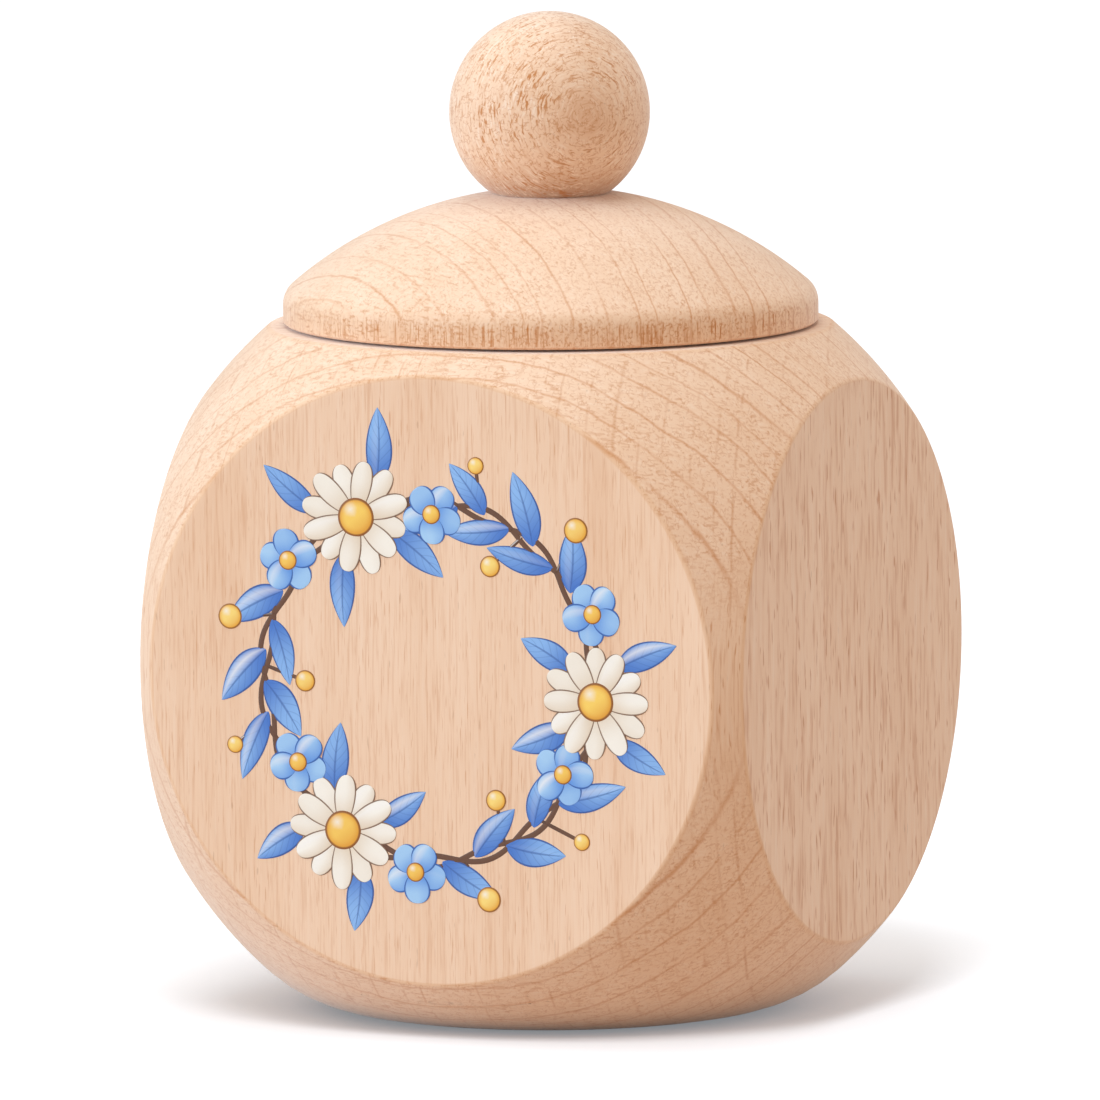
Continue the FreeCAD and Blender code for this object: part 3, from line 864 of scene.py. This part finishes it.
# %% Flowers and leaves
WREATH_SEED = 5
DAISY_PETALS = 12
DAISY_PETAL = (4.3, 1.75)  # length and width
DAISY_EYE = 1.45
SMALL_PETALS = 5
SMALL_PETAL = (2.35, 2.1)
SMALL_EYE = 0.72
PETAL_FORM = (0.8, 0.42)  # the two powers of a blade's half width
ROUND_FORM = (0.6, 0.45)
PETAL_LENGTH_SHARES = (0.94, 1.04)  # petals vary between these shares of their length
PETAL_SWING = 0.15
PETAL_LEVELS = (0.026, 0.040)
LAST_PETAL_LIFT = 0.007  # the last petal lies a little over the first
EYE_LEVEL = 0.054
EYE_SWELL = 0.03
LEAF = (5.2, 2.15)
LEAF_FORM = (0.75, 0.95)
LEAF_SIZE_SHARES = (0.88, 1.1)
LEAF_SWING = 0.7
LEAF_LEVEL = 0.012

draw = np.random.default_rng(WREATH_SEED)


def add_flower(kind, middle, count, size, form, eye):
    """Petals round a middle, every other one a layer higher, and the flower's eye on top."""
    start = draw.uniform(0, 2 * np.pi)
    for i in range(count):
        turn = start + 2 * np.pi * i / count
        length = size[0] * draw.uniform(*PETAL_LENGTH_SHARES)
        swing = draw.uniform(-PETAL_SWING, PETAL_SWING)
        level = PETAL_LEVELS[i % 2] + LAST_PETAL_LIFT * (i == count - 1)
        petal = blade(middle, turn, length, size[1], form, swing, tint=draw.uniform(), level=level,
                      swell=INK_SWELL)
        films[kind].append(petal)
    films["eye"].append(disc(middle, eye, tint=draw.uniform(), level=EYE_LEVEL, swell=EYE_SWELL))


def add_leaf(base, turn, side):
    """A leaf of about the usual size that bends back towards the vine."""
    length, width = np.array(LEAF) * draw.uniform(*LEAF_SIZE_SHARES, 2)
    leaf = blade(base, turn, length, width, LEAF_FORM, LEAF_SWING * side, tint=draw.uniform(),
                 level=LEAF_LEVEL, swell=INK_SWELL)
    films["leaf"].append(leaf)


# %% The plan of the wreath
DAISY_TURNS = np.radians([116, 238, 356])
DAISY_LEAF_STEP = radians(10)  # leaves beside a daisy stand this far round from it
DAISY_LEAF_ASIDE = 1.8  # and this far in or out from the vine
DAISY_LEAF_LEAN = radians(34)
SMALL_STEP = radians(27)  # the small flowers stand this far round from a daisy
SMALL_ASIDE = 0.9
GAP_START = radians(36)  # leaves and berries fill the vine from here past each daisy
LEAF_STEP = radians(9.5)
LEAF_LEAN = radians(42)
BERRY_RADII = (0.95, 0.8, 0.65)
BERRY_START_SHARE = 0.8  # the first berry stands at this share of the way between two
BERRY_ASIDE = 3.3
STALK_STEP = radians(5)  # a stalk leaves the vine this far before its berry
STALK_WIDTH = 0.3
STALK_FORM = (0.1, 0.1)

for daisy_turn, next_turn in zip(DAISY_TURNS, np.roll(DAISY_TURNS, -1)):
    middle = on_face(daisy_turn, WREATH_RADIUS)
    add_flower("cream_petal", middle, DAISY_PETALS, DAISY_PETAL, PETAL_FORM, DAISY_EYE)
    for side in (-1, 1):
        small = on_face(daisy_turn + side * SMALL_STEP, WREATH_RADIUS + side * SMALL_ASIDE)
        add_flower("blue_petal", small, SMALL_PETALS, SMALL_PETAL, ROUND_FORM, SMALL_EYE)
        leaf_turn = daisy_turn + side * DAISY_LEAF_STEP
        lean = side * DAISY_LEAF_LEAN
        add_leaf(on_face(leaf_turn, WREATH_RADIUS + DAISY_LEAF_ASIDE), daisy_turn + lean, -side)
        add_leaf(on_face(leaf_turn, WREATH_RADIUS - DAISY_LEAF_ASIDE), daisy_turn + np.pi - lean, side)
    gap = (next_turn - daisy_turn) % (2 * np.pi) - 2 * GAP_START
    leaf_count = int(gap / LEAF_STEP) + 1
    for i, turn in enumerate(daisy_turn + GAP_START + np.linspace(0, gap, leaf_count)):
        side = 1 - 2 * (i % 2)
        add_leaf(on_face(turn, WREATH_RADIUS), turn + np.pi / 2 - side * LEAF_LEAN, side)
    for i, radius in enumerate(BERRY_RADII):
        turn = daisy_turn + GAP_START + gap * (i + BERRY_START_SHARE) / len(BERRY_RADII)
        side = 1 - 2 * (i % 2)
        foot = on_face(turn - STALK_STEP, WREATH_RADIUS)
        berry = on_face(turn, WREATH_RADIUS + side * BERRY_ASIDE)
        reach = berry - foot
        stalk = blade(foot, np.arctan2(reach[1], reach[0]), np.linalg.norm(reach), STALK_WIDTH, STALK_FORM, 0,
                      tint=VINE_MARKS["tint"], level=VINE_LEVEL, swell=INK_SWELL)
        films["vine"].append(stalk)
        ball = disc(berry, radius, tint=draw.uniform(), level=PETAL_LEVELS[0], swell=EYE_SWELL)
        films["berry"].append(ball)
print({key: len(made) for key, made in films.items()})

# %% Ink
# Printing ink cured on the wood: an opaque film with a soft gloss, whose only shading is what was printed.
FILM_MARKS = ("rim", "along", "tint", "lit", "gleam")
INK_IOR = 1.5
INK_ROUGHNESS = 0.38
INK_COLOURS = {  # light, deep and edge
    "leaf": ("#8FC0FA", "#3C74CE", "#2A559F"),
    "cream_petal": ("#FFFDF6", "#E3CFB5", "#7E5E48"),
    "blue_petal": ("#A9D5FE", "#5592E6", "#2D60B0"),
    "eye": ("#FFD866", "#E59C27", "#8F5513"),
    "berry": ("#FFDF7E", "#EDA92F", "#9C6215"),
    "vine": ("#6B432A", "#55321B", "#40230F"),
}
GLEAM_COLOUR = "#FFFFFF"
GLEAM_STRENGTH = 0.75
FOOT_LEVELS = (0.75, 0.0)  # a film is light from the first share of its length, and deep at the second
DARK_SIDE_SHARE = 0.8
TINT_SHARE = 0.3
VEIN_COUNT = 7
VEIN_SLANT = 1.6
VEIN_HALF_WIDTH = 0.12
LEAF_VEINS = 0.3
RIB_LEVELS = (0.04, 0.10)  # here and below, shares of the way from spine to outline
EDGE_LINE_LEVELS = (0.84, 0.93)


def ink(name, light, deep, edge, veins):
    """Ink with printed shading: deep at the foot and on the dark side, a gleam, veins if any, a dark edge.

    Veins lie where the share along the film times their count, less a slant times the share out, is whole.
    """
    material = bpy.data.materials.new(name)
    material.use_nodes = True
    tree = material.node_tree
    tree.nodes.clear()
    rim, along, tint, lit, gleam = (node(tree, "Attribute", attribute_name=key)["Fac"] for key in FILM_MARKS)
    foot = {0: along, 1: FOOT_LEVELS[0], 2: FOOT_LEVELS[1]}
    foot = node(tree, "MapRange", foot, interpolation_type="SMOOTHSTEP")[0]
    dark_side = node(tree, "MapRange", {0: lit, 1: 0.0, 2: -1.0, 4: DARK_SIDE_SHARE})[0]
    single = node(tree, "Math", {0: tint, 1: TINT_SHARE}, operation="MULTIPLY")[0]
    slant = node(tree, "Math", {0: rim, 1: -VEIN_SLANT}, operation="MULTIPLY")[0]
    vein = node(tree, "Math", {0: along, 1: VEIN_COUNT, 2: slant}, operation="MULTIPLY_ADD")[0]
    vein = node(tree, "Math", {0: vein, 1: 0.5}, operation="PINGPONG")[0]
    vein = node(tree, "MapRange", {0: vein, 2: VEIN_HALF_WIDTH, 3: veins, 4: 0.0})[0]
    rib = node(tree, "MapRange", {0: rim, 1: RIB_LEVELS[0], 2: RIB_LEVELS[1], 3: 2 * veins, 4: 0.0})[0]
    shine = node(tree, "Math", {0: gleam, 1: GLEAM_STRENGTH}, operation="MULTIPLY")[0]
    line = {0: rim, 1: EDGE_LINE_LEVELS[0], 2: EDGE_LINE_LEVELS[1]}
    line = node(tree, "MapRange", line, interpolation_type="SMOOTHSTEP")[0]
    layers = (
        (foot, deep),
        (single, deep),
        (dark_side, deep),
        (vein, edge),
        (rib, edge),
        (shine, GLEAM_COLOUR),
        (line, edge),
    )
    colour = linear(light)
    for amount, tone in layers:
        colour = node(tree, "Mix", {0: amount, 6: colour, 7: linear(tone)}, data_type="RGBA")[2]
    surface = {"Base Color": colour, "Roughness": INK_ROUGHNESS, "IOR": INK_IOR}
    node(tree, "OutputMaterial", {"Surface": node(tree, "BsdfPrincipled", surface)[0]})
    return material


for kind, made in films.items():
    marks = {key: np.concatenate([values[key].ravel() for _, values in made]) for key in FILM_MARKS}
    film_ink = ink("ink_" + kind, *INK_COLOURS[kind], veins=LEAF_VEINS if kind == "leaf" else 0.0)
    print_piece = make_piece("wreath_" + kind, [grid for grid, _ in made], film_ink, marks)
    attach(print_piece, "box")

# %% [markdown]
# ## Floor and light
#
# The photograph is a product shot on white: light from everywhere, a little more from the upper left, and
# only a faint shadow at the foot. One lamp could not light both the wood and the paper below it as they are
# there. So a warm sky lights everything, two cool soft lamps shape the wood, one from the left and one from
# above, and light linking keeps those two off the floor. The floor has a lamp of its own, high in front,
# which throws the shadow back.
#
# To the camera and to reflections the floor is nearly white, with the shadow left in it, and ambient
# occlusion darkens it a little close to the foot. The light that it sends up to the wood is warmer.

# %% Floor
# Smooth white paper, quite matt: a plain ground that shows nothing but the shadow.
FLOOR_RADIUS = 6000
FLOOR_RINGS = 12
FLOOR_AROUND = 64
FLOOR_SEEN = "#EFF6FE"
FLOOR_BOUNCE = "#CBBAAB"  # what the box gets back from the floor: a warm light
FLOOR_LIFT = 0.36  # light added for the camera and reflections alone, so that the unshaded floor is white
SHADOW_REACH = 18
SHADOW_SHARE = 0.32

floor_paper = bpy.data.materials.new("floor_paper")
floor_paper.use_nodes = True
tree = floor_paper.node_tree
tree.nodes.clear()
ray_kind = node(tree, "LightPath")
seen = {0: ray_kind["Is Camera Ray"], 1: ray_kind["Is Glossy Ray"]}
seen = node(tree, "Math", seen, operation="MAXIMUM")[0]
close = node(tree, "AmbientOcclusion", {"Color": linear(FLOOR_SEEN), "Distance": SHADOW_REACH * MM})["Color"]
close = node(tree, "Mix", {0: SHADOW_SHARE, 6: linear(FLOOR_SEEN), 7: close}, data_type="RGBA")[2]
shade = node(tree, "Mix", {0: seen, 6: linear(FLOOR_BOUNCE), 7: close}, data_type="RGBA")[2]
paper = node(tree, "BsdfDiffuse", {"Color": shade})[0]
strength = node(tree, "Math", {0: seen, 1: FLOOR_LIFT}, operation="MULTIPLY")[0]
glow = node(tree, "Emission", {"Color": close, "Strength": strength})[0]
node(tree, "OutputMaterial", {"Surface": node(tree, "AddShader", {0: paper, 1: glow})[0]})
floor_radii = FLOOR_RADIUS * np.linspace(0, 1, FLOOR_RINGS) ** 2
floor_disc = make_piece("floor", [turned([(r, 0) for r in floor_radii], FLOOR_AROUND)], floor_paper)

# %% Light
SKY_COLOUR = "#FFF1E4"
WORLD_LIGHT = 0.64
LIGHT_DISTANCE = 3000
LAMPS = {  # azimuth, elevation, size, power in watts, colour, and whether the floor is left out or lit alone
    "key_light": (radians(-48), radians(18), 1900, 62, "#D2ECFF", "EXCLUDE"),
    "top_light": (radians(0), radians(90), 1900, 39, "#F3FCFF", "EXCLUDE"),
    "floor_light": (radians(16), radians(52), 1100, 50, "#FFFFFF", "INCLUDE"),
}

world = bpy.data.worlds.new("studio")
bpy.context.scene.world = world
world.use_nodes = True
world.node_tree.nodes.clear()
sky = node(world.node_tree, "Background", {"Color": linear(SKY_COLOUR), "Strength": WORLD_LIGHT})[0]
node(world.node_tree, "OutputWorld", {"Surface": sky})


def softbox(name, azimuth, elevation, size, power, colour):
    """A square lamp at LIGHT_DISTANCE from the box that faces it. It is placed as a camera would be."""
    lamp = bpy.data.objects.new(name, bpy.data.lights.new(name, "AREA"))
    lamp.data.energy = power
    lamp.data.color = linear(colour)[:3]
    lamp.data.size = size * MM
    right, up, back = camera_axes(azimuth, elevation, 0)
    place = (Vector((0, 0, AIM_HEIGHT)) + back * LIGHT_DISTANCE) * MM
    lamp.matrix_world = Matrix.Translation(place) @ Matrix((right, up, back)).transposed().to_4x4()
    bpy.context.scene.collection.objects.link(lamp)
    print(name, power, "W")
    return lamp


for name, (*settings, floor_link) in LAMPS.items():
    lamp = softbox(name, *settings)
    receivers = bpy.data.collections.new(name + "_receivers")
    receivers.objects.link(floor_disc)
    receivers.collection_objects[0].light_linking.link_state = floor_link
    lamp.light_linking.receiver_collection = receivers
bpy.context.scene.view_settings.view_transform = "Standard"
